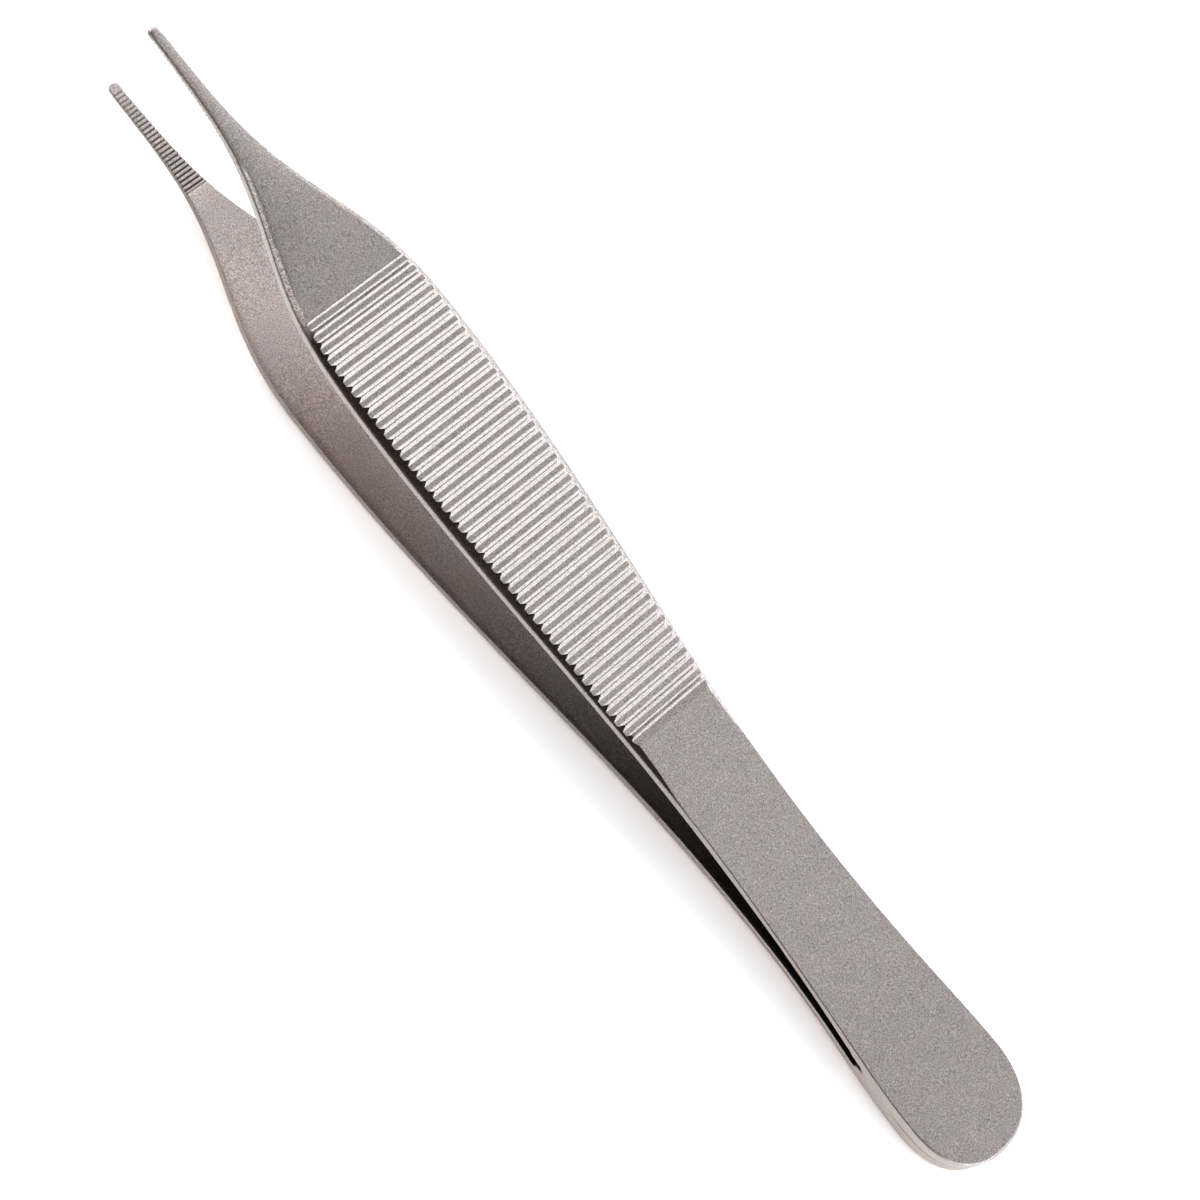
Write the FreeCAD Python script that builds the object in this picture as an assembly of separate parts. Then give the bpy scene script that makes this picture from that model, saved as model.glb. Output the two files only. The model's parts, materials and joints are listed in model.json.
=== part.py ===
import FreeCAD, Part

import math
import os

from FreeCAD import Vector

# Thumb forceps, 120 mm long: two bowed spring arms, forged apart and welded face to face at the heel.
# Drawing frame, all in millimetres: x runs from the tips to the heel, y across the arms, and z away
# from the plane in which the two arms meet. Each arm is drawn as the upper one, and the lower arm is
# then mirrored. Its teeth stand half a pitch further back, so that they mesh with the upper ones. At the
# end both are turned and lowered, so that the pair lies on a table at z = 0.

# Lengths of the stretches that follow one another from the tips to the heel
tip_round_length = 0.3
jaw_straight_length = 6.2
jaw_flare_length = 5.7
neck_length = 5.8
shoulder_length = 8.0
grip_front_length = 10.0
grip_middle_length = 18.0
grip_rear_length = 16.0
waist_length = 16.0
spring_length = 16.0
spring_root_length = 4.3
land_ramp_length = 0.8
heel_front_length = 5.5
heel_rear_length = 3.6
heel_round_length = 3.8

# Full widths of the plan outline
tip_width = 1.02
jaw_width = 1.23
jaw_root_width = 2.5
neck_width = 5.98
shoulder_width = 11.8
grip_width = 13.9
grip_middle_width = 12.74
grip_rear_width = 10.35
waist_width = 9.14
spring_width = 10.43
heel_width = 11.72
heel_round_width = 10.32

# Bow of the arm: height of its outer face over the meeting plane
tip_height = 6.08
jaw_root_height = 5.9
shoulder_height = 5.67
grip_front_height = 5.33
grip_middle_height = 4.42
grip_rear_height = 3.18
waist_height = 2.01
spring_height = 1.33
heel_thickness = 1.28

# Thickness of the arm
tip_thickness = 0.54
jaw_root_thickness = 0.88
shoulder_thickness = 1.18
grip_middle_thickness = 1.17
grip_rear_thickness = 0.96
blade_thickness = 0.88

# Grooved grip: flat-bottomed transverse grooves in the outer face
groove_pitch = 1.11
groove_depth = 0.17
groove_floor = 0.48
grip_plain_front = 1.35
grip_plain_rear = 2.95

# Serrated jaw: transverse V grooves in the inner face, closed off by one scribed line
tooth_pitch = 0.428
tooth_depth = 0.17
tooth_mouth = 0.27
jaw_plain_front = 0.61
jaw_plain_rear = 0.75
stop_line_gap = 0.29
stop_line_width = 0.1
stop_line_depth = 0.02

# Slopes ground on both sides of the outer face, from the jaw to the waist
slope_jaw_width, slope_jaw_depth = 0.5, 0.1
slope_neck_width, slope_neck_depth = 0.6, 0.14
slope_shoulder_width, slope_shoulder_depth = 0.6, 0.29
slope_grip_width, slope_grip_depth = 1.02, 0.46
slope_rear_width, slope_rear_depth = 0.72, 0.22
slope_tail_width, slope_tail_depth = 0.35, 0.09
slope_front_run = 2.2
slope_jaw_run = 1.8
slope_tail_run = 6.0
slope_rear_run = 12.0
slope_clearance = 0.06

# Ground rim round the heel's end, how far the bow falls over each millimetre at the very tips, and how
# far the upper tip reaches past the lower one
heel_rim = 0.22
tip_fall = 0.02
upper_reach = 0.3

# Room for the cutting shapes, and the step and tolerance of the searches
cutter_margin = 3.0
search_step = 1.0
edge_tolerance = 0.01

# Distances from the tips at which the stretches end
jaw_at = tip_round_length + jaw_straight_length
jaw_root_at = jaw_at + jaw_flare_length
neck_at = jaw_root_at + neck_length
shoulder_at = neck_at + shoulder_length
grip_front_at = shoulder_at + grip_front_length
grip_middle_at = grip_front_at + grip_middle_length
grip_rear_at = grip_middle_at + grip_rear_length
waist_at = grip_rear_at + waist_length
spring_at = waist_at + spring_length
gap_end_at = spring_at + spring_root_length
weld_at = gap_end_at + land_ramp_length
heel_front_at = weld_at + heel_front_length
heel_round_at = heel_front_at + heel_rear_length
total_length = heel_round_at + heel_round_length


def smooth_curve(points, first_direction=None, last_direction=None):
    """B-spline through the points, with its end directions where they are given."""
    curve = Part.BSplineCurve()
    ends = {}
    if first_direction and last_direction:
        ends = {"InitialTangent": first_direction, "FinalTangent": last_direction}
    curve.interpolate(Points=points, **ends)
    return curve


def parameter_at(curve, x):
    """Parameter at which a curve that always advances in x reaches the distance x."""
    low, high = curve.FirstParameter, curve.LastParameter
    rising = curve.value(high).x > curve.value(low).x
    for step in range(50):
        middle = (low + high) / 2
        if (curve.value(middle).x < x) == rising:
            low = middle
        else:
            high = middle
    return (low + high) / 2


def point_at(curve, x):
    return curve.value(parameter_at(curve, x))


def frame_at(curve, x):
    """Point of the curve at x, with its direction towards the heel and its normal away from z = 0."""
    parameter = parameter_at(curve, x)
    along = curve.tangent(parameter)[0]
    if along.x < 0:
        along = along.negative()
    return curve.value(parameter), along, Vector(-along.z, 0, along.x)


def piece_of(curve, start_x, end_x):
    """Edge of the curve between two distances from the tips."""
    return curve.toShape(parameter_at(curve, start_x), parameter_at(curve, end_x))


def across(point):
    """The same point on the other side of the arm's centre plane."""
    return Vector(point.x, -point.y, point.z)


def line(start, end):
    return Part.LineSegment(start, end).toShape()


# Outer and inner curves of the arm, in the plane y = 0

tip_direction = Vector(1, 0, -tip_fall)
heel_direction = Vector(1, 0, 0)
outer_curve = smooth_curve([
    Vector(-upper_reach, 0, tip_height + tip_fall * upper_reach),
    Vector(jaw_root_at, 0, jaw_root_height),
    Vector(shoulder_at, 0, shoulder_height),
    Vector(grip_front_at, 0, grip_front_height),
    Vector(grip_middle_at, 0, grip_middle_height),
    Vector(grip_rear_at, 0, grip_rear_height),
    Vector(waist_at, 0, waist_height),
    Vector(spring_at, 0, spring_height),
    Vector(weld_at, 0, heel_thickness),
], tip_direction, heel_direction)

thickness_stations = [
    (-upper_reach, tip_thickness),
    (jaw_root_at, jaw_root_thickness),
    (shoulder_at, shoulder_thickness),
    (grip_middle_at, grip_middle_thickness),
    (grip_rear_at, grip_rear_thickness),
    (waist_at, blade_thickness),
    (gap_end_at, blade_thickness),
]
inner_curve = smooth_curve([
    point_at(outer_curve, x) - Vector(0, 0, thickness) for x, thickness in thickness_stations
])


def groove_corners(x):
    """Corners of one grip groove: the crest in front of it and the two corners of its floor."""
    centre, along, away = frame_at(outer_curve, x)
    floor_centre = centre - away * groove_depth
    return [
        point_at(outer_curve, x - groove_pitch / 2),
        floor_centre - along * (groove_floor / 2),
        floor_centre + along * (groove_floor / 2),
    ]


def notch_corners(x, mouth, depth):
    """Corners of one V notch in the inner face."""
    centre, along, away = frame_at(inner_curve, x)
    return [
        point_at(inner_curve, x - mouth / 2),
        centre + away * depth,
        point_at(inner_curve, x + mouth / 2),
    ]


def chain(corners):
    return [line(start, end) for start, end in zip(corners, corners[1:])]


def places(start, end, pitch):
    """Centres of as many cuts as the pitch fits between two distances, the first half a pitch in."""
    count = int((end - start) / pitch)
    return [start + pitch * (number + 0.5) for number in range(count)]


def arm_side_profile(tooth_shift):
    """Face in the plane y = 0: grooved outer curve, heel, flat weld land and serrated inner curve."""
    grooves = []
    groove_places = places(shoulder_at + grip_plain_front, grip_rear_at + grip_plain_rear, groove_pitch)
    for x in groove_places:
        grooves += groove_corners(x)
    grooves.append(point_at(outer_curve, groove_places[-1] + groove_pitch / 2))
    teeth = []
    for x in places(jaw_plain_front, jaw_root_at - jaw_plain_rear, tooth_pitch):
        teeth += notch_corners(x + tooth_shift, tooth_mouth, tooth_depth)
    teeth += notch_corners(teeth[-1].x + stop_line_gap, stop_line_width, stop_line_depth)

    tip_top = outer_curve.value(outer_curve.FirstParameter)
    tip_bottom = inner_curve.value(inner_curve.FirstParameter)
    weld_top = Vector(weld_at, 0, heel_thickness)
    heel_top = Vector(total_length, 0, heel_thickness)
    heel_bottom = Vector(total_length, 0, 0)
    weld_bottom = Vector(weld_at, 0, 0)
    gap_end = point_at(inner_curve, gap_end_at)
    edges = [line(tip_bottom, tip_top)]
    edges += [piece_of(outer_curve, tip_top.x, grooves[0].x)]
    edges += chain(grooves)
    edges += [piece_of(outer_curve, grooves[-1].x, weld_at)]
    edges += chain([weld_top, heel_top, heel_bottom, weld_bottom, gap_end])
    edges += [piece_of(inner_curve, teeth[-1].x, gap_end_at)]
    edges += chain(teeth)
    edges += [piece_of(inner_curve, tip_bottom.x, teeth[0].x)]
    return Part.Face(Part.Wire(Part.__sortEdges__(edges)))


def arm_outline(tip_at):
    """Face in the plane z = 0: blunt tip, slender jaw, wide grip, waist and rounded heel."""
    side = [
        (tip_at + tip_round_length, tip_width),
        (jaw_at, jaw_width),
        (jaw_root_at, jaw_root_width),
        (neck_at, neck_width),
        (shoulder_at, shoulder_width),
        (grip_front_at, grip_width),
        (grip_middle_at, grip_middle_width),
        (grip_rear_at, grip_rear_width),
        (waist_at, waist_width),
        (spring_at, spring_width),
        (heel_front_at, heel_width),
        (heel_round_at, heel_round_width),
    ]
    left = smooth_curve([Vector(x, -width / 2, 0) for x, width in side]).toShape()
    right = smooth_curve([Vector(x, width / 2, 0) for x, width in side]).toShape()
    tip_corner = Vector(tip_at + tip_round_length, tip_width / 2, 0)
    heel_corner = Vector(heel_round_at, heel_round_width / 2, 0)
    tip = Part.Arc(tip_corner, Vector(tip_at, 0, 0), across(tip_corner)).toShape()
    heel = Part.Arc(heel_corner, Vector(total_length, 0, 0), across(heel_corner)).toShape()
    return Part.Face(Part.Wire(Part.__sortEdges__([tip, left, heel, right]))), left


def slope_cutter(side_edge):
    """Solid that grinds the slope on one side: triangles that follow the edge of the outline."""
    side_curve = side_edge.Curve
    stations = [
        (jaw_root_at - slope_front_run, -slope_clearance, -slope_clearance),
        (jaw_root_at + slope_jaw_run, slope_jaw_width, slope_jaw_depth),
        (neck_at, slope_neck_width, slope_neck_depth),
        (shoulder_at, slope_shoulder_width, slope_shoulder_depth),
        (grip_front_at, slope_grip_width, slope_grip_depth),
        (grip_middle_at, slope_grip_width, slope_grip_depth),
        (grip_rear_at, slope_rear_width, slope_rear_depth),
        (grip_rear_at + slope_tail_run, slope_tail_width, slope_tail_depth),
        (grip_rear_at + slope_rear_run, -slope_clearance, -slope_clearance),
    ]
    sections = []
    for x, width, depth in stations:
        edge = Vector(x, point_at(side_curve, x).y, point_at(outer_curve, x).z)
        inward = Vector(0, 1, 0) if edge.y < 0 else Vector(0, -1, 0)
        upper = edge + inward * width
        lower = edge - Vector(0, 0, depth)
        run = (upper - lower).normalize() if width > 0 else (inward + Vector(0, 0, 1)).normalize()
        top = upper + run * cutter_margin
        bottom = lower - run * cutter_margin
        corner = Vector(x, bottom.y, top.z)
        sections.append(Part.makePolygon([top, bottom, corner, top]))
    return Part.makeLoft(sections, True, False)


def make_arm(tip_at, tooth_shift):
    profile = arm_side_profile(tooth_shift)
    profile.translate(Vector(0, -grip_width, 0))
    slab = profile.extrude(Vector(0, 2 * grip_width, 0))
    outline, left_edge = arm_outline(tip_at)
    outline.translate(Vector(0, 0, -cutter_margin))
    column = outline.extrude(Vector(0, 0, tip_height + 2 * cutter_margin))
    arm = slab.common(column)
    left_cutter = slope_cutter(left_edge)
    right_cutter = left_cutter.mirror(Vector(0, 0, 0), Vector(0, 1, 0))
    arm = arm.cut([left_cutter, right_cutter])
    return arm.Solids[0]


def round_heel_rim(arm):
    """Small round on the outer edge of the heel's end."""
    rim = [
        edge for edge in arm.Edges
        if edge.BoundBox.ZMin > heel_thickness - edge_tolerance
        and edge.BoundBox.ZMax < heel_thickness + edge_tolerance
        and edge.CenterOfMass.x > heel_round_at
    ]
    return arm.makeFillet(heel_rim, rim)


def resting_turn():
    """Angle that brings the bow of the lower arm and its heel down on one level."""
    turns = []
    x = 0.0
    while x < weld_at:
        rise = point_at(outer_curve, x).z - heel_thickness
        turns.append(math.atan2(rise, total_length - heel_rim - x))
        x += search_step
    return math.degrees(max(turns))


upper_arm = round_heel_rim(make_arm(-upper_reach, 0.0))
lower_arm = round_heel_rim(make_arm(0.0, tooth_pitch / 2)).mirror(Vector(0, 0, 0), Vector(0, 0, 1))
nodes = {"upper_arm": upper_arm, "lower_arm": lower_arm}

for shape in nodes.values():
    shape.rotate(Vector(0, 0, 0), Vector(0, 1, 0), resting_turn())
box = Part.makeCompound(list(nodes.values())).optimalBoundingBox(True, False)
to_origin = Vector(-(box.XMin + box.XMax) / 2, -(box.YMin + box.YMax) / 2, -box.ZMin)

os.makedirs("parts", exist_ok=True)
for name, shape in nodes.items():
    shape.translate(to_origin)
    shape.exportStep("parts/" + name + ".step")
    print(name, shape.isValid(), len(shape.Solids), round(shape.Volume, 1), shape.BoundBox)
print("resting turn", round(resting_turn(), 3), "moved by", to_origin)
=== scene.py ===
import json
import math

import bpy
import numpy as np
from mathutils import Matrix, Vector


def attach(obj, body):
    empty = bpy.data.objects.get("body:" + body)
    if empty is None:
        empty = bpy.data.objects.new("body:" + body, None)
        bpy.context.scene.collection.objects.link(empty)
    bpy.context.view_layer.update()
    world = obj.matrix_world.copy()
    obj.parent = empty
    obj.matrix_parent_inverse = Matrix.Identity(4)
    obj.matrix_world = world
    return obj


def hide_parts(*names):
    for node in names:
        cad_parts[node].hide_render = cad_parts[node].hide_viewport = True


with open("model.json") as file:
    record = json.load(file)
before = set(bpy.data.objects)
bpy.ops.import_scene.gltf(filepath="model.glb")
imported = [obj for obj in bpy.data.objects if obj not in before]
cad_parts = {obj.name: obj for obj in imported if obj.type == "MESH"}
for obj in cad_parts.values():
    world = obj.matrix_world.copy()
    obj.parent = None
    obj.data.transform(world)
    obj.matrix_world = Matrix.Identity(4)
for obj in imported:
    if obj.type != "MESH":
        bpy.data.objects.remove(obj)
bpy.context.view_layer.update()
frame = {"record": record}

# The two arms. Each is forged from a stainless strip, ground to its outline and its bow, milled with
# transverse grooves on the grip and with teeth in the jaw, then glass-blasted. Both are welded face to
# face at the heel and ground there together. All sizes below are in millimetres, in the drawing frame.

millimetre = 0.001

# Where the form changes, as distances from the lower arm's tip
tip_round_at = 0.3
jaw_at = 6.5
jaw_root_at = 12.2
neck_at = 18.0
shoulder_at = 26.0
grip_front_at = 36.0
grip_middle_at = 54.0
grip_rear_at = 70.0
waist_at = 86.0
spring_at = 102.0
gap_end_at = 106.3
weld_at = 107.1
heel_round_at = 113.0
total_length = 120.0

# The pairs in a list are a distance and what holds there, joined by straight lines unless it says more.
# First the outer face's heights over the weld's plane and the thicknesses under it, on smooth lines.
upper_reach = 0.3
heel_thickness = 1.28
bow_heights = [
    (-upper_reach, 6.086), (jaw_root_at, 5.9), (shoulder_at, 5.67), (grip_front_at, 5.33),
    (grip_middle_at, 4.42), (grip_rear_at, 3.18), (waist_at, 2.01), (spring_at, 1.33),
    (weld_at, heel_thickness),
]
tip_fall = 0.02
blade_thickness = 0.88
thicknesses = [
    (-upper_reach, 0.54), (jaw_root_at, 0.88), (shoulder_at, 1.18), (grip_middle_at, 1.17),
    (grip_rear_at, 0.96), (waist_at, blade_thickness), (gap_end_at, blade_thickness),
]
upper_weld_ramp = (106.3, 106.9)
lower_weld_ramp = (105.85, 106.15)


def smooth_line(points, first_slope=None, last_slope=None):
    """Cubic spline over the chord length through the points, as fine samples (along, height). An end
    takes its given slope, or else the slope of the cubic through the four points nearest to it."""
    points = np.array(points, float)
    at = np.r_[0, np.cumsum(np.hypot(*np.diff(points, axis=0).T))]
    step = np.diff(at)[:, None]
    rise = np.diff(points, axis=0) / step
    ends = []
    for slope, near, end in ((first_slope, slice(0, 4), at[0]), (last_slope, slice(-4, None), at[-1])):
        if slope is None:
            cubics = [np.polyfit(at[near], points[near, axis], 3) for axis in (0, 1)]
            ends.append([np.polyval(np.polyder(cubic), end) for cubic in cubics])
        else:
            ends.append([1 / math.hypot(1, slope), slope / math.hypot(1, slope)])
    inner = len(points) - 2
    system = np.eye(len(points))
    known = np.zeros_like(points)
    known[0], known[-1] = ends
    rows = np.arange(1, inner + 1)
    system[rows, rows - 1] = step[1:, 0]
    system[rows, rows] = 2 * (step[1:, 0] + step[:-1, 0])
    system[rows, rows + 1] = step[:-1, 0]
    known[rows] = 3 * (rise[:-1] * step[1:] + rise[1:] * step[:-1])
    slope = np.linalg.solve(system, known)
    samples = 6000
    fine = np.linspace(0, at[-1], samples)
    left = np.clip(np.searchsorted(at, fine, side="right") - 1, 0, inner)
    share = ((fine - at[left]) / step[left, 0])[:, None]
    start, end = points[left], points[left + 1]
    curve = (
        (1 + 2 * share) * (1 - share) ** 2 * start + share * (1 - share) ** 2 * step[left] * slope[left]
        + share ** 2 * (3 - 2 * share) * end - share ** 2 * (1 - share) * step[left] * slope[left + 1]
    )
    return curve.T


bow_line = smooth_line(bow_heights, -tip_fall, 0.0)
under_line = smooth_line([(x, np.interp(x, *bow_line) - thickness) for x, thickness in thicknesses])

# The grip's grooves, with the share of the full depth by the groove's number
groove_pitch = 1.11
groove_depth = 0.17
groove_floor = 0.48
grip_plain_front = 1.35
grip_plain_rear = 2.95
crest_land = 0.09
groove_softness = 0.035
groove_shares = [(0, 0.6), (3, 1.0), (38, 1.0), (40, 0.5)]
groove_run_out = 0.6


def places(start, end, pitch):
    """Centres of as many cuts as the pitch fits between two distances, the first half a pitch in."""
    return start + pitch * (np.arange(int((end - start) / pitch)) + 0.5)


def along_arm(x, pairs):
    """Values at the distances x, on straight lines between pairs of a distance and a value."""
    return np.interp(x, *np.array(pairs, float).T)


groove_places = places(shoulder_at + grip_plain_front, grip_rear_at + grip_plain_rear, groove_pitch)
groove_share = along_arm(np.arange(len(groove_places)), groove_shares)
flank_ends = groove_floor / 2 + (groove_pitch - crest_land - groove_floor) / 2 * groove_share
groove_corners = [(groove_places[0] - groove_pitch / 2, 0.0)]
for x, share, flank_end in zip(groove_places, groove_share, flank_ends):
    groove_corners += [
        (x - flank_end, 0.0), (x - groove_floor / 2, groove_depth * share),
        (x + groove_floor / 2, groove_depth * share), (x + flank_end, 0.0),
    ]
run_out_at = groove_places[-1] - groove_floor / 4
groove_corners[-2:] = [
    (run_out_at, groove_depth * groove_share[-1]), (run_out_at + groove_run_out, 0.0),
]

# The jaw's teeth and the stop line behind them
tooth_pitch = 0.428
tooth_depth = 0.17
tooth_mouth = 0.27
tooth_softness = 0.012
jaw_plain_front = 0.61
jaw_plain_rear = 0.75
stop_line_gap = 0.29
stop_line_width = 0.1
stop_line_depth = 0.02

# The places of the sections: from either end, from a tooth's centre, from the stop line, past a
# groove's corner, along the last groove's run-out and before the heel's end
end_steps = np.array([0.0006, 0.005, 0.016, 0.035, 0.06, 0.1, 0.15, 0.22, 0.3, 0.42, 0.6, 0.8])
tooth_steps = tooth_mouth * np.array([-0.6, -0.5, -0.4, -0.2, -0.05, 0.05, 0.2, 0.4, 0.5, 0.6])
stop_line_steps = np.array([-0.1, -0.05, -0.03, 0, 0.03, 0.05, 0.1, 0.13, 0.22, 0.26])
floor_steps = np.array([-0.14, -groove_softness, 0.0, groove_softness])
run_out_steps = groove_run_out * np.array([0, 0.2, 0.4, 0.6, 0.8, 0.95, 1.0, 1.05])
heel_steps = np.array([3.6, 3.2, 2.8, 2.4, 2.0, 1.65, 1.35, 1.05])
neck_spacing = 0.32
blade_spacing = 0.55
weld_spacing = 0.08
heel_spacing = 0.4
grip_margin, heel_margin = 0.3, 0.2
unrimmed_from = gap_end_at - 1.5
weld_ends = weld_at + 0.6


def arm_stations(tip_at, tooth_places):
    """Distances from the tip at which the arm has a section: close together at the tip, the teeth, the
    grooves, the weld's ramp and the heel's rim, and wide apart between them."""
    half_floor, half_pitch = groove_floor / 2, groove_pitch / 2
    half_groove = np.c_[
        np.tile(half_floor + floor_steps, (len(flank_ends), 1)), (half_floor + flank_ends) / 2,
        flank_ends - groove_softness, flank_ends, flank_ends + groove_softness,
        np.full(len(flank_ends), half_pitch),
    ]
    in_groove = np.c_[-half_groove, half_groove]
    return np.unique(np.round(np.concatenate([
        tip_at + end_steps,
        (tooth_places[:, None] + tooth_steps).ravel(),
        tooth_places[-1] + stop_line_gap + stop_line_steps,
        np.arange(jaw_root_at, groove_places[0] - half_pitch, neck_spacing),
        (groove_places[:, None] + in_groove).ravel(),
        run_out_at + run_out_steps,
        np.arange(groove_places[-1] + half_pitch + grip_margin, unrimmed_from, blade_spacing),
        np.arange(unrimmed_from, weld_ends, weld_spacing),
        np.arange(weld_ends + heel_margin, total_length - heel_steps[0] - heel_margin, heel_spacing),
        total_length - heel_steps,
        total_length - end_steps,
    ]), 4))


# The outline's widths, on a smooth line, and how far the real arms sway to the right
outline_widths = [
    (tip_round_at, 1.08), (jaw_at, 1.38), (jaw_root_at, 2.6), (neck_at, 6.1),
    (shoulder_at, 11.92), (grip_front_at, 13.9), (grip_middle_at, 12.72), (grip_rear_at, 10.33),
    (waist_at, 9.28), (95.0, 9.83), (spring_at, 10.68), (weld_at, 11.46), (heel_round_at, 12.0),
]
heel_squareness = 2.3
front_sways = [(0.9, 0.04), (jaw_root_at, 0.06), (24.0, 0.06), (31.0, 0.0), (grip_rear_at, 0.0)]
upper_sways = front_sways + [
    (waist_at, 0.04), (98.0, 0.05), (110.0, 0.05), (heel_round_at, 0.11), (total_length, 0.11),
]
lower_sways = front_sways + [
    (waist_at, 0.07), (96.0, 0.19), (102.0, 0.13), (106.0, 0.04), (total_length, 0.11),
]

tip_half = outline_widths[0][1] / 2
heel_half = outline_widths[-1][1] / 2
heel_round = total_length - heel_round_at
tip_radius = (tip_half ** 2 + tip_round_at ** 2) / (2 * tip_round_at)


class Outline:
    """The arm seen from above. Its half width is a smooth line along the blade, a circle's arc round the
    tip, and at the heel a rounded square's: the root of 1 less the power of the way to the end."""

    def __init__(self, tip_at, tooth_places):
        self.x = x = arm_stations(tip_at, tooth_places)
        self.past_tip = x - tip_at
        self.past_heel = np.clip((x - heel_round_at) / heel_round, 0, 1)
        halves = [(at, width / 2) for at, width in outline_widths[1:]]
        blade = smooth_line([(tip_at + tip_round_at, tip_half), *halves], last_slope=0.0)
        round_tip = np.sqrt(np.maximum(tip_radius ** 2 - (tip_radius - self.past_tip) ** 2, 0))
        round_heel = heel_half * (1 - self.past_heel ** heel_squareness) ** (1 / heel_squareness)
        half = np.where(self.past_tip < tip_round_at, round_tip, np.interp(x, *blade))
        self.half = np.where(x > heel_round_at, round_heel, half)
        self.lean = np.hypot(1, np.gradient(self.half, x))

    def ordered(self, inward):
        """Distances from the edge, drawn together where the arm is narrow, the last on the middle line."""
        count = inward.shape[1]
        inward = np.minimum(inward, self.half[:, None] * np.arange(count) / (count - 1))
        inward[:, -1] = self.half
        return inward

    def distance(self, inward):
        """Distance to the outline: the one to the edge over its lean, the radial one at the tip, and at
        the heel's rounded square 1 - f over the slope of f, where f is the root of the sum of the
        powers of the shares of the way to its end and to its side."""
        y = self.half[:, None] - inward
        straight = inward / self.lean[:, None]
        shares = np.stack([self.past_heel[:, None] + 0 * y, y / heel_half])
        level = np.maximum((shares ** heel_squareness).sum(0), 0.001) ** (1 / heel_squareness)
        rise = (shares / level) ** (heel_squareness - 1) / np.array([heel_round, heel_half])[:, None, None]
        at_heel = (1 - level) / np.hypot(*rise)
        at_tip = tip_radius - np.hypot(tip_radius - self.past_tip[:, None], y)
        away = np.where(self.x[:, None] > heel_round_at, at_heel, straight)
        return np.maximum(np.where(self.past_tip[:, None] < tip_round_at, at_tip, away), 0)


def softened(along, corners, softness):
    """Heights at the places along of a line with straight runs between corners, each corner rounded
    by a moving average over twice the softness."""
    steps = 6
    fine = np.arange(corners[0][0] - 1, corners[-1][0] + 1, softness / steps)
    window = np.ones(2 * steps + 1) / (2 * steps + 1)
    padded = np.pad(along_arm(fine, corners), steps, "edge")
    return np.interp(along, fine, np.convolve(padded, window, "valid"))


def notch_heights(x, tooth_places):
    """How far the notches between the teeth go into the inner face: a vee at each place, and a shallow
    one for the stop line."""
    corners = [(0.0, 0.0)]
    for centre in tooth_places:
        corners += [(centre - tooth_mouth / 2, 0.0), (centre, tooth_depth), (centre + tooth_mouth / 2, 0.0)]
    stop_line = tooth_places[-1] + stop_line_gap
    corners += [
        (stop_line - stop_line_width / 2, 0.0), (stop_line, stop_line_depth),
        (stop_line + stop_line_width / 2, 0.0), (total_length, 0.0),
    ]
    return softened(x, corners, tooth_softness)


# The slopes ground along both edges, as distance, width and depth
slopes = [
    (jaw_root_at - 2.2, 0.0, 0.0), (jaw_root_at + 1.8, 0.5, 0.1), (neck_at, 0.6, 0.14),
    (shoulder_at, 0.6, 0.29), (grip_front_at, 1.02, 0.46), (grip_middle_at, 1.02, 0.46),
    (grip_rear_at, 0.72, 0.22), (grip_rear_at + 6.0, 0.35, 0.09), (grip_rear_at + 12.0, 0.0, 0.0),
]
slope_clearance = 0.06
slope_reach = 3.0
slope_tolerance = 0.01
crease_softness = 0.012


def slope_plane(x):
    """The ground slope over the bow at each station, as its height at the edge and its rise inwards. It
    is ruled between two lines, one past its crease and one past its foot by the reach along the slope.
    Where there is no slope, the plane lies a millimetre over the edge, clear of the bow."""
    slope_at, wide, deep = np.array(slopes).T
    cut = wide > 0
    run = np.where(cut, np.hypot(wide, deep), math.sqrt(2))
    run_wide = np.where(cut, wide, 1) / run * slope_reach
    run_deep = np.where(cut, deep, 1) / run * slope_reach
    clear = np.where(cut, 0, slope_clearance)
    top_inward, top_height = (np.interp(x, slope_at, v) for v in (wide - clear + run_wide, run_deep))
    low_inward, low_height = (np.interp(x, slope_at, v) for v in (-run_wide, clear - deep - run_deep))
    steepness = (top_height - low_height) / (top_inward - low_inward)
    sloped = (x > slope_at[0]) & (x < slope_at[-1])
    return np.where(sloped, low_height - low_inward * steepness, 1.0), steepness


# Radii of the rims, and how much the jaw's outer face falls off from its middle line
front_rims = [
    (-upper_reach, 0.4), (0.2, 0.36), (0.9, 0.17), (jaw_at, 0.2), (neck_at, 0.16), (shoulder_at, 0.12),
    (30.0, 0.1), (grip_rear_at, 0.08),
]
upper_rims = front_rims + [(80.0, 0.1), (heel_round_at, 0.1), (116.0, 0.18), (total_length, 0.34)]
lower_rims = front_rims + [(80.0, 0.12), (waist_at, 0.2), (96.0, 0.3), (total_length, 0.34)]
upper_inner_rims = [(grip_rear_at, 0.08), (waist_at, 0.12), (94.0, 0.34), (100.0, 0.28), (104.0, 0.12)]
lower_inner_rims = [(grip_rear_at, 0.08), (waist_at, 0.14), (96.0, 0.2), (104.0, 0.12)]
crowns = [
    (0.0, 0.14), (jaw_at, 0.115), (jaw_root_at, 0.032), (neck_at, 0.006), (shoulder_at, 0.0),
]

# The points of a section: shares of the rim, of the slope between rim and crease, distances past the
# crease, shares of the way from there to the middle, the same for the inner face, and shares of the wall
rim_steps = [0, 0.06, 0.2, 0.42, 0.7, 1.0]
slope_steps = [0.35, 0.7]
crease_steps = [0.0, 0.025, 0.06]
face_steps = [0.06, 0.16, 0.3, 0.47, 0.65, 0.83, 1.0]
inner_rim_steps = [0, 0.12, 0.4, 1.0]
inner_face_steps = [0.1, 0.3, 0.55, 0.8, 1.0]
wall_steps = [0.06, 0.35, 0.65, 0.94]
inner_points = 2 * (len(inner_rim_steps) + len(inner_face_steps)) - 1


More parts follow.
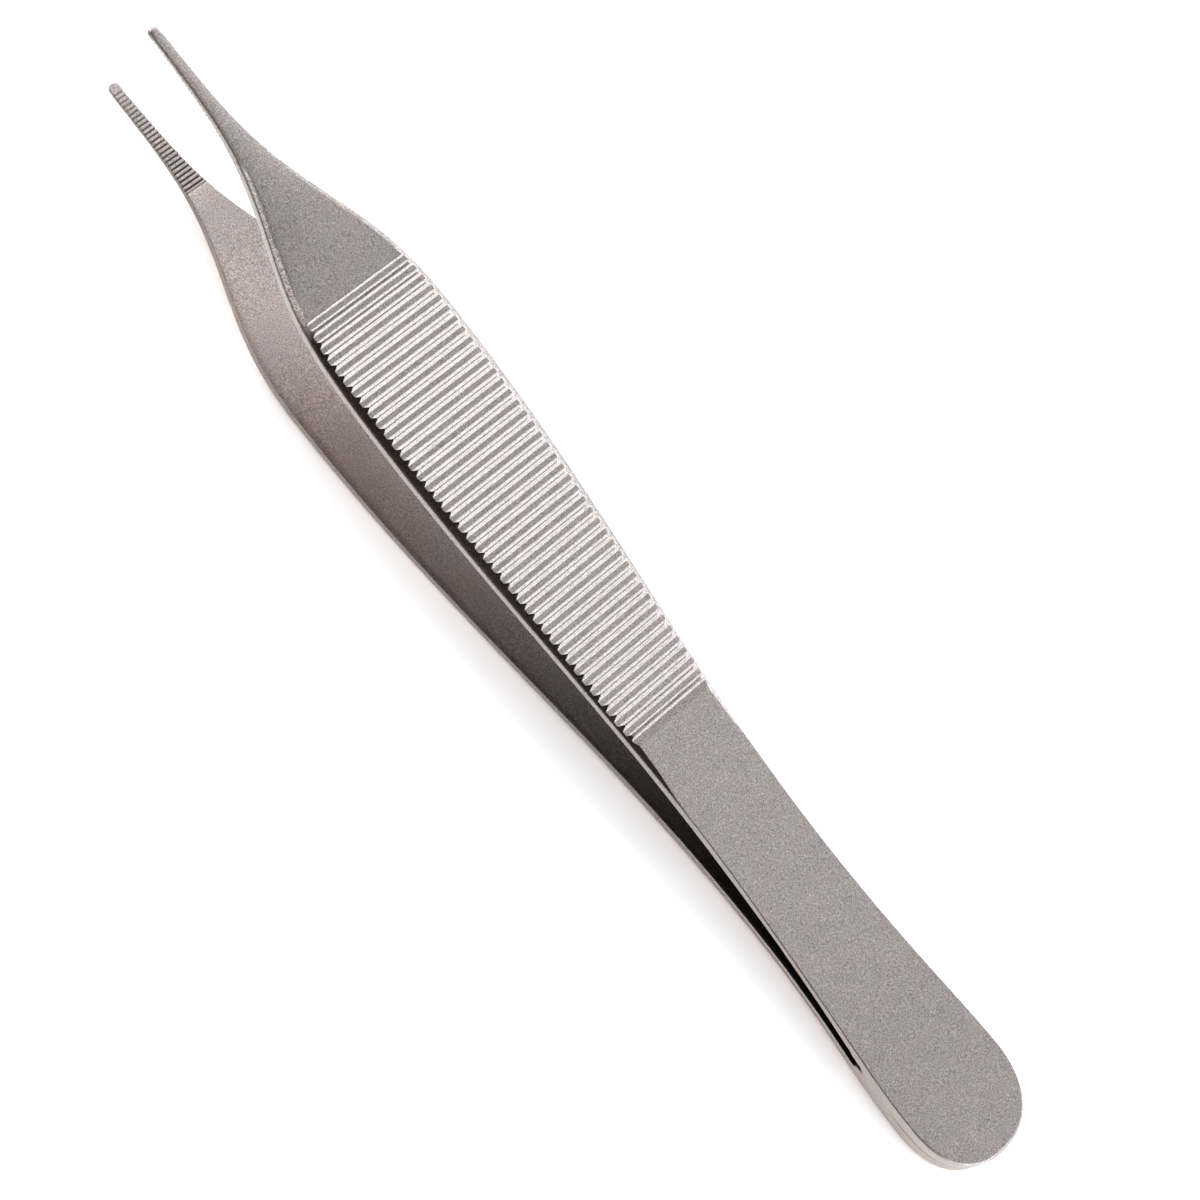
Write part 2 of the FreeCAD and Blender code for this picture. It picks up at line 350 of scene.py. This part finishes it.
def quarter_round(away, radius):
    """Drop of a rim at a distance from the outline: the radius less the root of its square less the
    square of what is left of it."""
    rest = np.clip(radius - away, 0, radius)
    return radius - np.sqrt(np.maximum(radius ** 2 - rest ** 2, 0))


def smaller(one, other, softness):
    """The lower of two surfaces, with a fillet where they cross: half their sum less half the root of
    their squared difference and the squared softness."""
    return (one + other - np.sqrt((one - other) ** 2 + softness ** 2)) / 2


def outer_face(outline, rims):
    """Distances from the edge and heights of the outer face, and whether each point is on the slope. The
    height is the lower of the bow less its grooves and of the slope, less the rim's quarter round, and
    the bow is crowned by the square of the distance from the middle line."""
    x, half = outline.x, outline.half
    bow = np.interp(x, *bow_line)
    groove = softened(x, groove_corners, groove_softness)
    at_edge, steepness = slope_plane(x)
    rim = along_arm(x, rims)
    past_rim = 1.3
    crease = np.maximum((-at_edge - groove) / steepness, rim * outline.lean * past_rim)

    on_rim = np.array(rim_steps) * (rim * outline.lean)[:, None]
    on_slope = on_rim[:, -1:] + (crease[:, None] - on_rim[:, -1:]) * np.array(slope_steps)
    at_crease = crease[:, None] + np.array(crease_steps)
    on_face = at_crease[:, -1:] + (half[:, None] - at_crease[:, -1:]) * np.array(face_steps)
    inward = outline.ordered(np.concatenate([on_rim, on_slope, at_crease, on_face], axis=1))

    crown = along_arm(x, crowns)[:, None]
    grooved = (bow - groove)[:, None] - crown * (half[:, None] - inward) ** 2
    slope = (bow + at_edge)[:, None] + inward * steepness[:, None]
    drop = quarter_round(outline.distance(inward), rim[:, None])
    return inward, smaller(grooved, slope, crease_softness) - drop, slope < grooved + slope_tolerance


def inner_face(outline, rims, weld_ramp, notches):
    """Distances from the edge and heights of the inner face: the blade's thickness under the bow plus
    the notches, with a rounded rim as far as the gap reaches, and down the ramp to the weld's plane."""
    x, half = outline.x, outline.half[:, None]
    land = np.clip((x - weld_ramp[0]) / (weld_ramp[1] - weld_ramp[0]), 0, 1)
    under = np.interp(np.minimum(x, gap_end_at), *under_line) * (1 - land)
    rim = along_arm(x, rims)[:, None]
    on_rim = np.array(inner_rim_steps) * rim * outline.lean[:, None]
    on_face = on_rim[:, -1:] + (half - on_rim[:, -1:]) * np.array(inner_face_steps)
    inward = outline.ordered(np.concatenate([on_rim, on_face], axis=1))
    smallest = 1e-6
    radius = np.maximum(np.where(x[:, None] > unrimmed_from, 0.0, rim), smallest)
    return inward, (under + notches)[:, None] + quarter_round(outline.distance(inward), radius)


# Painted light and shade, as factors on the metal's colour, where 1 is the plain face: painted shade in the
# notches, the crease and along the near rim, darker towards the gap's end, where little light gets in,
# painted highlights on the walls and round the heel's rim, and the jaw a little lighter in tone
outer_shades = [(8.0, 1.1), (20.0, 1.0)]
# Painted shade on the slopes behind the grip's middle
slope_shades = [(50.0, 1.0), (60.0, 0.85)]
# Painted shade along the neck's crease, on the near side only
crease_shades = [(9.5, 1.0), (11.5, 0.7), (23.0, 0.7), (27.0, 1.0)]
# Painted shade along the near rim, fading out round the heel's end, and a fainter one along the far rim
near_edge_shades = [0.5, 0.55, 0.62, 0.8]
near_edge_fades = [(112.0, 1.0), (118.5, 0.0)]
far_edge_shades = [0.85, 0.95, 1.0, 1.0]
# A painted highlight on the rim round the heel's end
heel_rim_painted_highlights = [(heel_round_at + 1.0, 1.0), (118.5, 1.3)]
# The inner face: lighter by the teeth, with painted shade growing towards the gap's end, and lighter again
# past the weld, where the faces are hidden, so no dark seam shows on the walls
inner_shades = [
    (jaw_root_at, 1.32), (14.0, 1.15), (24.0, 1.1), (shoulder_at, 1.08), (50.0, 0.84), (grip_rear_at, 0.58),
    (waist_at, 0.31), (spring_at, 0.15), (gap_end_at - 0.4, 0.15), (weld_at, 1.3), (total_length, 1.6),
]
# Painted shade in the notches between the teeth, by their depth, darker towards the jaw's root
notch_shades = [(1.0, 0.75), (4.0, 0.45), (7.0, 0.25), (11.0, 0.1)]
notch_breadth = 0.7
# A painted dark line along the stop line and a painted light line just behind it
stop_line_shades = [
    (-0.1, 1.0), (-0.05, 0.6), (0.05, 0.6), (0.1, 1.0), (0.13, 1.2), (0.22, 1.2), (0.26, 1.0),
]
# Painted highlights on the walls, brighter towards the heel, and the lower arm's walls darker towards the
# front
upper_wall_painted_light = [
    (jaw_root_at, 0.95), (neck_at, 1.15), (waist_at, 1.42), (weld_at, 1.38), (heel_round_at, 1.38),
    (total_length, 1.45),
]
lower_wall_painted_light = [
    (jaw_root_at, 0.8), (neck_at, 0.95), (waist_at, 1.0), (100.0, 1.05), (weld_at, 1.34),
    (heel_round_at, 1.36), (total_length, 1.4),
]
# Painted light on the lips, the edges of the inner faces: painted shade on the upper arm's towards the
# gap's end, and a painted light line on the lower arm's from the waist
upper_lip_painted_light = [(shoulder_at, 0.6), (grip_rear_at, 0.35), (spring_at, 0.1), (gap_end_at, 0.1), (weld_at, 1.3)]
lower_lip_painted_light = [(shoulder_at, 0.65), (grip_rear_at, 0.5), (waist_at, 1.2), (weld_at, 1.3)]

# The columns of a section that the painted shade of the crease and the painted light of the lips take up
crease_columns = [(7.2, 0.0), (9.0, 1.0), (10.0, 1.0), (11.5, 0.0)]
lip_columns = [0, 1, -2, -1]


def outer_shade(outline, on_slope):
    """Painted light and shade of the outer face, from the left edge, which is the near one, to the right:
    the tone along the arm with painted shade on the slopes, times the painted shade of the edges and of the
    crease on the left, and the painted highlight of the heel's rim."""
    x = outline.x
    half_shade = along_arm(x, outer_shades)[:, None] * np.where(
        on_slope, along_arm(x, slope_shades)[:, None], 1.0)
    in_crease = along_arm(np.arange(on_slope.shape[1]), crease_columns)
    near = half_shade * (1 - (1 - along_arm(x, crease_shades)[:, None]) * in_crease)
    far = half_shade.copy()
    fade = along_arm(x, near_edge_fades)[:, None]
    heel_rim = along_arm(x, heel_rim_painted_highlights)[:, None]
    near[:, :len(near_edge_shades)] *= (1 - (1 - np.array(near_edge_shades)) * fade) * heel_rim
    far[:, :len(far_edge_shades)] *= np.array(far_edge_shades) * heel_rim
    return np.c_[near, far[:, -2::-1]]


def inner_shade(x, notches, stop_line, lip_painted_light):
    """Painted light and shade of the inner face: its line along the arm, and the lips' own painted light at
    both edges, both with painted shade by the depth of the notches and a painted dark and light line round
    the stop line."""
    depth = np.clip(notches / tooth_depth, 0, 1) ** notch_breadth
    in_notch = (1 - depth * (1 - along_arm(x, notch_shades)))[:, None]
    shade = along_arm(x, inner_shades)[:, None] * in_notch + np.zeros(inner_points)
    shade[:, lip_columns] = along_arm(x, lip_painted_light)[:, None] * in_notch
    return shade * along_arm(x - stop_line, stop_line_shades)[:, None]


# The record's mount on the lower arm's heel gives the turn and the place in which the pair rests
heel_rest = frame["record"]["mounts"][0]
heel_rest_at = 113.5
rest_turn = math.asin(-heel_rest["axis"][0])
rest_shift = (
    heel_rest["pos_m"][0] / millimetre
    - heel_rest_at * math.cos(rest_turn) + heel_thickness * math.sin(rest_turn),
    heel_rest["pos_m"][2] / millimetre
    + heel_rest_at * math.sin(rest_turn) + heel_thickness * math.cos(rest_turn),
)


def arm_mesh(name, side, x, y, z, marks):
    """Closed mesh over a grid of points, one loop for each station, turned and moved to where the arm
    rests. The lower arm has its heights turned over. Each mark becomes an attribute of the points."""
    turned = x[:, None] * math.cos(rest_turn) + side * z * math.sin(rest_turn)
    raised = -x[:, None] * math.sin(rest_turn) + side * z * math.cos(rest_turn)
    points = np.stack([turned + rest_shift[0], y, raised + rest_shift[1]], axis=-1) * millimetre
    stations, around = y.shape
    index = np.arange(stations * around).reshape(stations, around)
    here, ahead = index[:-1], index[1:]
    quads = np.stack([here, ahead, np.roll(ahead, -1, 1), np.roll(here, -1, 1)], axis=-1).reshape(-1, 4)
    ends = [index[0, ::-1], index[-1]]
    if side < 0:
        quads = quads[:, ::-1]
        ends = [end[::-1] for end in ends]
    sharp_angle = math.radians(50)
    mesh = bpy.data.meshes.new(name)
    mesh.from_pydata(points.reshape(-1, 3), [], [*quads.tolist(), *[end.tolist() for end in ends]])
    mesh.polygons.foreach_set("use_smooth", np.ones(len(mesh.polygons), bool))
    mesh.set_sharp_from_angle(angle=sharp_angle)
    for attribute, values in marks.items():
        layer = mesh.attributes.new(attribute, "FLOAT", "POINT")
        layer.data.foreach_set("value", np.ascontiguousarray(values, np.float32).ravel())
    mesh.update()
    return mesh


# How much rougher the jaw is than the rest, and where the neck is hatched
outer_mattes = [(8.0, 0.1), (20.0, 0.0)]
inner_mattes = [(14.0, 0.3), (24.0, 0.16), (36.0, 0.0)]
hatched_neck = [
    (jaw_root_at - 1.0, 0.0), (jaw_root_at + 2.0, 1.0), (shoulder_at, 1.0), (shoulder_at + 3.2, 0.0),
]


def mirrored(values):
    """Columns from the left edge to the middle, and back out to the right edge."""
    return np.c_[values, values[:, -2::-1]]


def make_arm(name, side, tip_at, tooth_shift, weld_ramp, sways, outer_rims, inner_rims, wall_painted_light, lip_painted_light):
    """Shell of one arm. At each station a loop of points runs over the outer face from left to right,
    down the right wall, back under the inner face and up the left wall."""
    tooth_places = places(jaw_plain_front, jaw_root_at - jaw_plain_rear, tooth_pitch) + tooth_shift
    outline = Outline(tip_at, tooth_places)
    x = outline.x
    notches = notch_heights(x, tooth_places)
    outer_inward, outer, on_slope = outer_face(outline, outer_rims)
    inner_inward, inner = inner_face(outline, inner_rims, weld_ramp, notches)

    def across(inward):
        """Places across the arm, from its left edge to its right edge."""
        y = outline.half[:, None] - inward
        return np.c_[-y, y[:, -2::-1]]

    wall_z = outer[:, :1] + (inner[:, :1] - outer[:, :1]) * np.array(wall_steps)
    wall_y = outline.half[:, None] + 0 * wall_z
    outer_y, inner_y = across(outer_inward), across(inner_inward)[:, ::-1]
    y = np.concatenate([outer_y, wall_y, inner_y, -wall_y[:, ::-1]], axis=1)
    z = np.concatenate([mirrored(outer), wall_z, mirrored(inner)[:, ::-1], wall_z[:, ::-1]], axis=1)
    y = y + along_arm(x, sways)[:, None]

    def around(on_outer, on_wall, on_inner):
        """Values round the loop from those of the outer face, of both walls and of the inner face."""
        on_outer = on_outer + np.zeros((len(x), 2 * outer.shape[1] - 1))
        on_wall = on_wall + np.zeros(wall_z.shape)
        on_inner = on_inner + np.zeros((len(x), inner_points))
        return np.concatenate([on_outer, on_wall, on_inner, on_wall], axis=1)

    rim = along_arm(x, outer_rims)
    away = outline.distance(outer_inward)
    rim_share = 0.6
    ground = mirrored(on_slope | (away < rim[:, None] * rim_share)).astype(float)
    rounding = 0.001
    within_floor = np.abs(x[:, None] - groove_places) < groove_floor / 2 - rounding
    on_floor = within_floor.any(axis=1) | (x > run_out_at)
    in_grip = (x > groove_corners[0][0]) & (x < groove_corners[-1][0])
    off_rim = np.interp(away, rim.mean() * np.array([rim_share, 2 * rim_share]), [0, 1])
    hatched = along_arm(x, hatched_neck)[:, None] * off_rim * on_slope
    marks = {
        "ground": around(ground, 1, 0),
        "milled": around((in_grip & ~on_floor)[:, None] * (1 - ground), 0, 0),
        "inside": around(0, 0, 1),
        "hatched": around(mirrored(hatched), 0, 0),
        # the painted light and shade, with the jaw's tone, as an attribute of the points
        "shade": around(
            outer_shade(outline, on_slope), along_arm(x, wall_painted_light)[:, None],
            inner_shade(x, notches, tooth_places[-1] + stop_line_gap, lip_painted_light)),
        "matte": around(along_arm(x, outer_mattes)[:, None], 0, along_arm(x, inner_mattes)[:, None]),
    }
    arm = bpy.data.objects.new(name, arm_mesh(name, side, x, y, z, marks))
    bpy.context.scene.collection.objects.link(arm)
    return arm


class Wire:
    """One value in a shader. Operators on wires and numbers add the Math nodes that work them out."""

    def __init__(self, tree, socket=None):
        self.tree, self.socket = tree, socket

    def node(self, kind, settings=None, **inputs):
        """New node of that kind, with its settings made first and then its sockets linked or set. A
        socket goes by its name with underscores for spaces, or by an underscore and its number."""
        node = self.tree.nodes.new("ShaderNode" + kind)
        for key, value in (settings or {}).items():
            setattr(node, key, value)
        for key, value in inputs.items():
            socket = node.inputs[int(key[1:])] if key[0] == "_" else node.inputs[key.replace("_", " ")]
            if isinstance(value, Wire):
                self.tree.links.new(value.socket, socket)
            else:
                socket.default_value = value
        return node

    def value(self, kind, output=0, settings=None, **inputs):
        """The wire that leaves such a node."""
        return Wire(self.tree, self.node(kind, settings, **inputs).outputs[output])

    def maths(self, operation, *values):
        """The wire that leaves a Math node with those values."""
        inputs = {f"_{place}": value for place, value in enumerate(values)}
        return self.value("Math", 0, {"operation": operation}, **inputs)

    def __add__(self, other):
        return self.maths("ADD", self, other)

    def __sub__(self, other):
        return self.maths("SUBTRACT", self, other)

    def __rsub__(self, other):
        return self.maths("SUBTRACT", other, self)

    def __mul__(self, other):
        return self.maths("MULTIPLY", self, other)

    def __pow__(self, other):
        return self.maths("POWER", self, other)

    __radd__ = __add__
    __rmul__ = __mul__

    def arccosine(self):
        """Angle in radians that has this value as its cosine."""
        return self.maths("ARCCOSINE", self)

    def between(self, low, high):
        """0 below low, 1 above high, and a smooth step between them."""
        return self.value("MapRange", 0, {"interpolation_type": "SMOOTHSTEP"},
                          _0=self, _1=low, _2=high, _3=0.0, _4=1.0)

    def mixed(self, one, other):
        """The first value where this wire is 0, the other where it is 1, and their mixture between."""
        return one + (other - one) * self


steel_colour = (0.62, 0.534, 0.497, 1.0)
cool_colour = (0.6, 0.534, 0.508, 1.0)
plain_tone, cloud_tone, grain_tone = 0.42, 0.05, 1.1
# The hatched neck slopes are painted lighter by a painted sheen, with the hatch's streaks over it
hatch_painted_sheen, hatch_contrast = 0.3, 0.45
cloud_range, grain_range = (0.3, 0.7), (0.2, 0.8)
patch_range, hatch_range = (0.35, 0.65), (0.38, 0.62)
blasted_roughness = 0.44
ground_roughness = 0.2
milled_roughness = 0.3
inside_roughness = 0.36
hatched_roughness = 0.92
grain_roughness, cloud_roughness = 0.12, 0.05
grain_scale = 8000.0
cloud_scale = 500.0
patch_scale = 400.0
cutter_scale = 9000.0
grinding_stretch = (0.035, 1.0, 1.0)
milling_stretch = (1.0, 0.05, 0.3)
hatch_scale = 7500.0
hatch_stretch = (0.16, 1.0, 1.0)
hatch_turn = math.radians(-38)
hatch_depth = 10
bump_height = 0.000008


def steel_finish():
    """Blasted stainless steel. Noise in object coordinates gives the grain, the cloudy tones and the
    patches of two tints, and noise stretched along the arm, across it or aslant gives the lines of the
    grinding, the milling and the hatch. The points' painted light and shade scale the tone, the hatched
    slopes take a painted sheen, and the points' matte is added to the roughness, which each finish sets."""
    material = bpy.data.materials.new("satin_steel")
    material.use_nodes = True
    tree = material.node_tree
    tree.nodes.clear()
    start = Wire(tree)
    place = start.value("TexCoord", "Object")
    ground, milled, inside, hatched, shade, matte = (
        start.value("Attribute", "Fac", {"attribute_name": mark})
        for mark in ("ground", "milled", "inside", "hatched", "shade", "matte")
    )

    def noise(scale, stretch=(1.0, 1.0, 1.0), detail=2.0, rough=0.5, turned=place):
        """Noise from 0 to 1, whose features are about 1 over the scale and the stretch in size."""
        spot = start.value("Mapping", Vector=turned, Scale=stretch)
        return start.value("TexNoise", Vector=spot, Scale=scale, Detail=detail, Roughness=rough)

    grain = noise(grain_scale, detail=3.0, rough=0.6)
    clouds = noise(cloud_scale, detail=4.0, rough=0.62)
    lengthwise = noise(cutter_scale, grinding_stretch, detail=3.0)
    crosswise = noise(cutter_scale, milling_stretch)
    slanted = start.value("VectorRotate", 0, {"rotation_type": "Z_AXIS"}, Vector=place, Angle=hatch_turn)
    hatch = noise(hatch_scale, hatch_stretch, turned=slanted)

    tone = (
        plain_tone + cloud_tone * clouds.between(*cloud_range) + grain_tone * grain.between(*grain_range)
    )
    # The points' painted light and shade scale the tone, and the hatched slopes are painted lighter under
    # their streaks
    tone = tone * shade * (1 + hatched * (hatch_painted_sheen + hatch_contrast * hatch.between(*hatch_range)))
    patch = noise(patch_scale, detail=3.0, rough=0.6).between(*patch_range)
    colour = start.value("Mix", "Result", {"data_type": "RGBA"}, _0=patch, _6=steel_colour, _7=cool_colour)
    colour = start.value("Mix", "Result", {"data_type": "RGBA", "blend_type": "MULTIPLY"},
                         _0=1.0, _6=colour, _7=tone)
    rough = ground.mixed(blasted_roughness, ground_roughness)
    rough = milled.mixed(rough, milled_roughness)
    rough = inside.mixed(rough, inside_roughness) + matte
    rough = hatched.mixed(rough, hatched_roughness)
    rough = rough + (grain - 0.5) * grain_roughness + (clouds - 0.5) * cloud_roughness
    height = (
        grain * (1 - ground) + lengthwise * ground + crosswise * milled
        + (hatch - 0.5) * hatched * hatch_depth
    )
    bump = start.value("Bump", Strength=1.0, Distance=bump_height, Height=height)
    steel = start.value("BsdfPrincipled", Base_Color=colour, Roughness=rough, Metallic=1.0, Normal=bump)
    start.node("OutputMaterial", Surface=steel)
    return material


upper_arm = make_arm(
    "upper_spring_arm", side=1, tip_at=-upper_reach, tooth_shift=0.0, weld_ramp=upper_weld_ramp,
    sways=upper_sways, outer_rims=upper_rims, inner_rims=upper_inner_rims, wall_painted_light=upper_wall_painted_light,
    lip_painted_light=upper_lip_painted_light)
lower_arm = make_arm(
    "lower_spring_arm", side=-1, tip_at=0.0, tooth_shift=tooth_pitch / 2, weld_ramp=lower_weld_ramp,
    sways=lower_sways, outer_rims=lower_rims, inner_rims=lower_inner_rims, wall_painted_light=lower_wall_painted_light,
    lip_painted_light=lower_lip_painted_light)
satin_steel = steel_finish()
for node, arm in (("upper_arm", upper_arm), ("lower_arm", lower_arm)):
    arm.data.materials.append(satin_steel)
    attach(arm, "root")
    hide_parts(node)


# The table under the forceps: a plain white board, so bright that it prints as the paper does. Only the
# shade right under the lower arm and beside it stays grey.
table_size = 3.0
table_tone = 0.97
table_seen_tone = 2.9
table_mirrored_tone = 1.65


def make_table():
    """One square of white board, with its own tone for what the camera sees and what metal mirrors."""
    mesh = bpy.data.meshes.new("table")
    edge = table_size / 2
    corners = [(-edge, -edge, 0), (edge, -edge, 0), (edge, edge, 0), (-edge, edge, 0)]
    mesh.from_pydata(corners, [], [(0, 1, 2, 3)])
    table = bpy.data.objects.new("table", mesh)
    bpy.context.scene.collection.objects.link(table)
    material = bpy.data.materials.new("white_board")
    material.use_nodes = True
    tree = material.node_tree
    tree.nodes.clear()
    start = Wire(tree)
    seen = start.value("LightPath", "Is Camera Ray")
    in_metal = start.value("LightPath", "Is Glossy Ray")
    tone = seen.mixed(table_tone, table_seen_tone) + in_metal * (table_mirrored_tone - table_tone)
    board = start.value("BsdfDiffuse", Color=tone)
    start.node("OutputMaterial", Surface=board)
    mesh.materials.append(material)


make_table()

# The light: a white tent stands round the table. It is bright on its far side, dim on the camera's side
# and at its foot, and open overhead, where it is dark.
tent_wall = 2.2
tent_opening = 0.03
opening_starts = math.radians(24)
opening_ends = math.radians(70)
near_side = 0.15
near_side_ends = -0.8
tent_foot = 0.4
foot_ends = 0.58
tint = (1.0, 1.03, 1.05)
warmth = (1.0, 1.1, 1.15)


def make_light():
    """The tent as a world. A ray's brightness comes from its angle to the vertical, times a share for how
    far it points to the camera's side and one for how low it is. Each colour channel is the brightness
    to the power of its warmth, times its tint, so that dim light is warmer. The camera sees white."""
    world = bpy.data.worlds.new("light_tent")
    bpy.context.scene.world = world
    world.use_nodes = True
    tree = world.node_tree
    tree.nodes.clear()
    start = Wire(tree)
    direction = start.value("TexCoord", "Generated")
    sideways, upwards = (start.value("SeparateXYZ", axis, Vector=direction) for axis in (1, 2))
    brightness = upwards.arccosine().between(opening_starts, opening_ends).mixed(tent_opening, tent_wall)
    brightness = brightness * sideways.between(near_side_ends, 0.0).mixed(near_side, 1.0)
    brightness = brightness * upwards.between(0.0, foot_ends).mixed(tent_foot, 1.0)
    red, green, blue = (brightness ** power * part for power, part in zip(warmth, tint))
    colour = start.value("CombineColor", Red=red, Green=green, Blue=blue)
    seen = start.value("LightPath", "Is Camera Ray")
    white = (1.0, 1.0, 1.0, 1.0)
    colour = start.value("Mix", "Result", {"data_type": "RGBA"}, _0=seen, _6=colour, _7=white)
    start.node("OutputWorld", Surface=start.value("Background", Color=colour))


make_light()

# The camera looks down on the forceps from their left, with the tips at the upper left of the picture.
# Its tilt, slant and roll and its distance were worked out from the edges of both arms.
camera_tilt = math.radians(29.93)
camera_slant = math.radians(2.45)
camera_roll = math.radians(1.78)
picture_turn = math.atan2(0.79020, 0.61285)
camera_distance = 343.2
aim_along, aim_across = 1.13, 2.71
focal_pixels = 3995.0
picture_pixels = 1200.0
sensor = 36.0
nearest_seen = 0.01


def make_camera():
    """Camera aimed at the middle of the pair. Its axis is tilted to the left from the normal of the arms'
    plane, and its picture is rolled, turned and then shifted by the aim, along and across the arms."""
    slant = camera_slant - rest_turn
    along = Vector((math.cos(slant), 0, math.sin(slant)))
    above = Vector((-math.sin(slant), 0, math.cos(slant)))
    across = Vector((0, 1, 0))
    towards = above * math.cos(camera_tilt) - across * math.sin(camera_tilt)
    upward = across * math.cos(camera_tilt) + above * math.sin(camera_tilt)
    row = along * math.cos(camera_roll) - upward * math.sin(camera_roll)
    column = along * math.sin(camera_roll) + upward * math.cos(camera_roll)
    right = row * math.cos(picture_turn) + column * math.sin(picture_turn)
    up = column * math.cos(picture_turn) - row * math.sin(picture_turn)
    middle = total_length / 2
    centre = Vector((
        middle * math.cos(rest_turn) + rest_shift[0], 0, -middle * math.sin(rest_turn) + rest_shift[1]))
    place = centre + towards * camera_distance + row * aim_along + column * aim_across
    camera_data = bpy.data.cameras.new("camera")
    camera_data.sensor_width = sensor
    camera_data.lens = sensor * focal_pixels / picture_pixels
    camera_data.clip_start = nearest_seen
    camera = bpy.data.objects.new("camera", camera_data)
    turn = Matrix((right, up, towards)).transposed().to_4x4()
    camera.matrix_world = Matrix.Translation(place * millimetre) @ turn
    bpy.context.scene.collection.objects.link(camera)
    bpy.context.scene.camera = camera


make_camera()
bpy.context.scene.view_settings.view_transform = "Standard"
